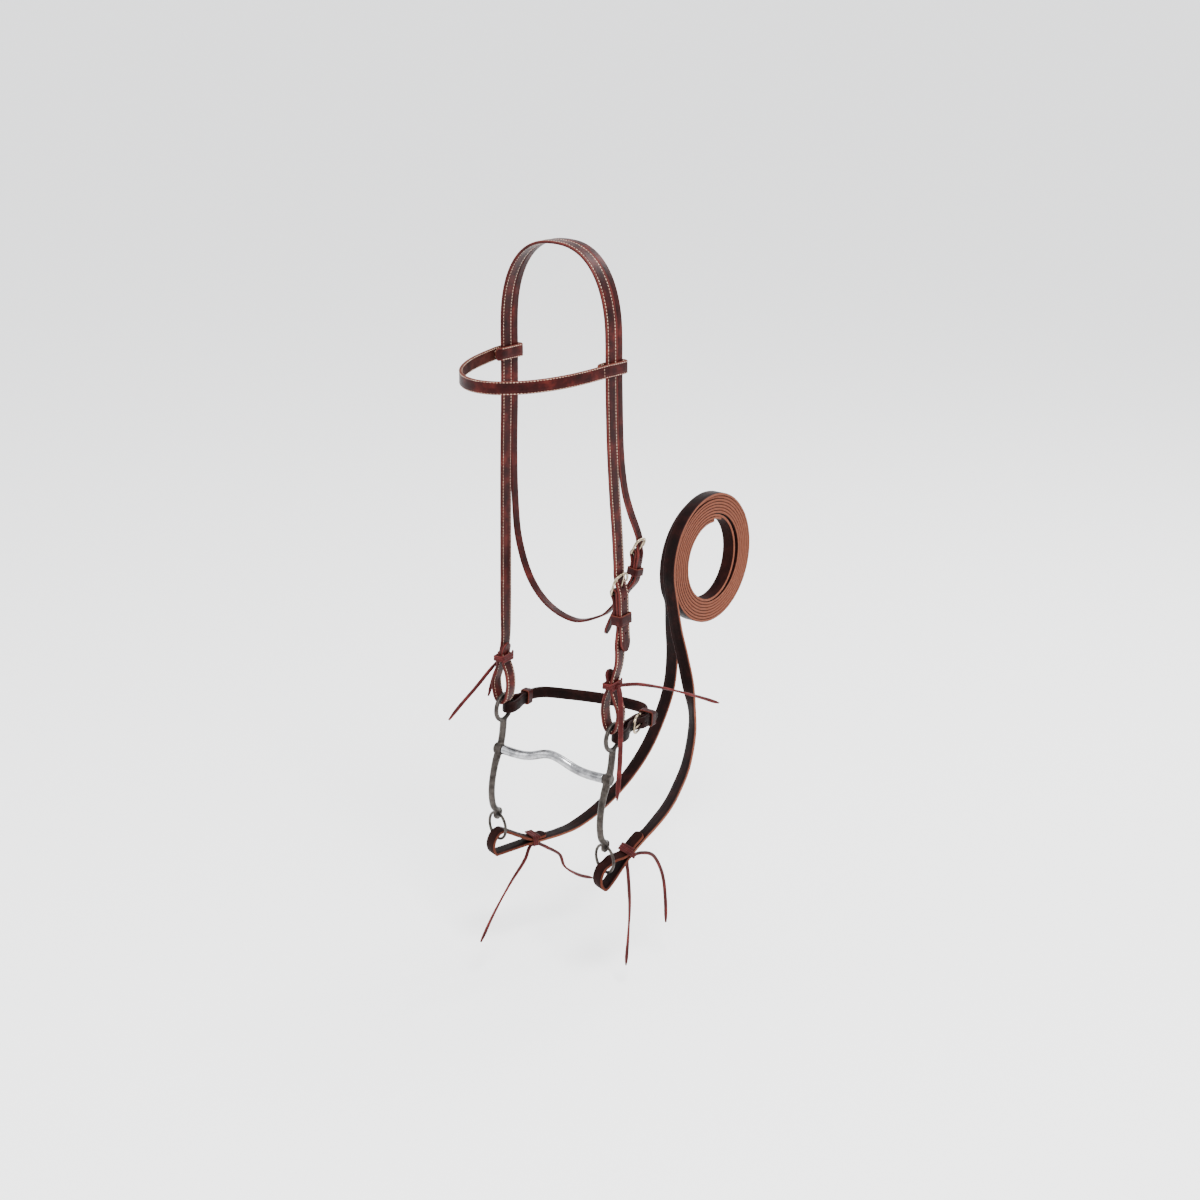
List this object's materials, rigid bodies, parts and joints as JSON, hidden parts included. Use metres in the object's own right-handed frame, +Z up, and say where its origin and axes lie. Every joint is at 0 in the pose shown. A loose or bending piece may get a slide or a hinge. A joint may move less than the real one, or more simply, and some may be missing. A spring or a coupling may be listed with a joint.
{
  "type": "western bridle",
  "caption": "Western browband bridle with throatlatch, low-port curb bit, curb strap and split reins rolled into a coil.",
  "frame": {"origin": "middle of the crown strap's underside, where a hook or the horse's poll carries the bridle", "axes": "+Z up, -Y towards the horse's nose, +X towards the horse's near (left) side"},
  "size_m": [0.2336, 0.4703, 0.7945],
  "materials": {
    "latigo": "oiled latigo",
    "rein_leather": "oiled latigo",
    "lace": "dry latigo lace",
    "nickel": "plated",
    "stainless": "polished",
    "dark_steel": "browned"
  },
  "bodies": {
    "headstall": {"crown_strap": "latigo", "throatlatch_strap": "latigo", "near_cheek_strap": "latigo", "cheek_buckle_frame": "nickel", "throatlatch_buckle_frame": "nickel", "near_cheek_tie": "lace", "far_cheek_tie": "lace", "far_cheek_lace_long": "lace", "far_cheek_lace_short": "lace", "near_cheek_lace_side": "lace", "near_cheek_lace_hanging": "lace", "rein_coil": "rein_leather", "far_rein_run": "rein_leather", "near_rein_run": "rein_leather"},
    "browband": {"browband": "latigo"},
    "cheek_keeper": {"cheek_keeper": "latigo"},
    "throatlatch_keeper": {"throatlatch_keeper": "latigo"},
    "cheek_tongue": {"cheek_buckle_tongue": "nickel"},
    "throatlatch_tongue": {"throatlatch_buckle_tongue": "nickel"},
    "bit": {"bit_shank_near": "dark_steel", "bit_shank_far": "dark_steel", "bit_mouthpiece": "stainless", "rein_ring_near": "dark_steel", "rein_ring_far": "dark_steel", "near_rein_loop": "rein_leather", "far_rein_loop": "rein_leather", "near_rein_tie": "lace", "far_rein_tie": "lace", "far_rein_lace_front": "lace", "far_rein_lace_rear": "lace", "near_rein_lace_hanging": "lace", "near_rein_lace_rear": "lace"},
    "curb": {"curb_strap": "latigo", "curb_buckle_chape": "latigo", "curb_buckle_frame": "nickel"},
    "curb_keeper_near": {"curb_keeper_near": "latigo"},
    "curb_tongue": {"curb_buckle_tongue": "nickel"},
    "curb_keeper_far": {"curb_keeper_far": "latigo"}
  },
  "joints": [
    {"name": "browband_slide", "type": "slide", "parent": "headstall", "child": "browband", "axis": [0, 0, 1], "range_m": [-0.015, 0.01]},
    {"name": "cheek_keeper_slide", "type": "slide", "parent": "headstall", "child": "cheek_keeper", "axis": [0, -0.0599, 0.9982], "range_m": [-0.004, 0.004]},
    {"name": "throatlatch_keeper_slide", "type": "slide", "parent": "headstall", "child": "throatlatch_keeper", "axis": [0.1186, 0.0988, 0.988], "range_m": [-0.003, 0.003]},
    {"name": "cheek_tongue_pivot", "type": "hinge", "parent": "headstall", "child": "cheek_tongue", "pos_m": [0.0668, 0.0148, -0.357], "axis": [0, 0.9982, 0.0599], "range_deg": [0, 10]},
    {"name": "throatlatch_tongue_pivot", "type": "hinge", "parent": "headstall", "child": "throatlatch_tongue", "pos_m": [0.07, 0.0405, -0.32], "axis": [0, 0.995, -0.0995], "range_deg": [0, 10]},
    {"name": "bit_swing", "type": "hinge", "parent": "headstall", "child": "bit", "pos_m": [0, -0.004, -0.5127], "axis": [0.9923, 0.1166, -0.0419], "range_deg": [-8, 18], "deforming": ["far_rein_run", "near_rein_run"]},
    {"name": "curb_swing", "type": "hinge", "parent": "headstall", "child": "curb", "pos_m": [0, -0.004, -0.5127], "axis": [0.9923, 0.1166, -0.0419], "range_deg": [-12, 5]},
    {"name": "curb_keeper_near_slide", "type": "slide", "parent": "curb", "child": "curb_keeper_near", "axis": [-0.1167, 0.9932, 0], "range_m": [-0.002, 0.002]},
    {"name": "curb_keeper_far_slide", "type": "slide", "parent": "curb", "child": "curb_keeper_far", "axis": [-0.1167, 0.9932, 0], "range_m": [-0.001, 0.003]},
    {"name": "curb_tongue_pivot", "type": "hinge", "parent": "curb", "child": "curb_tongue", "pos_m": [0.06417, 0.05791, -0.51517], "axis": [0.0416, 0.0049, 0.9991], "range_deg": [0, 10]}
  ]
}
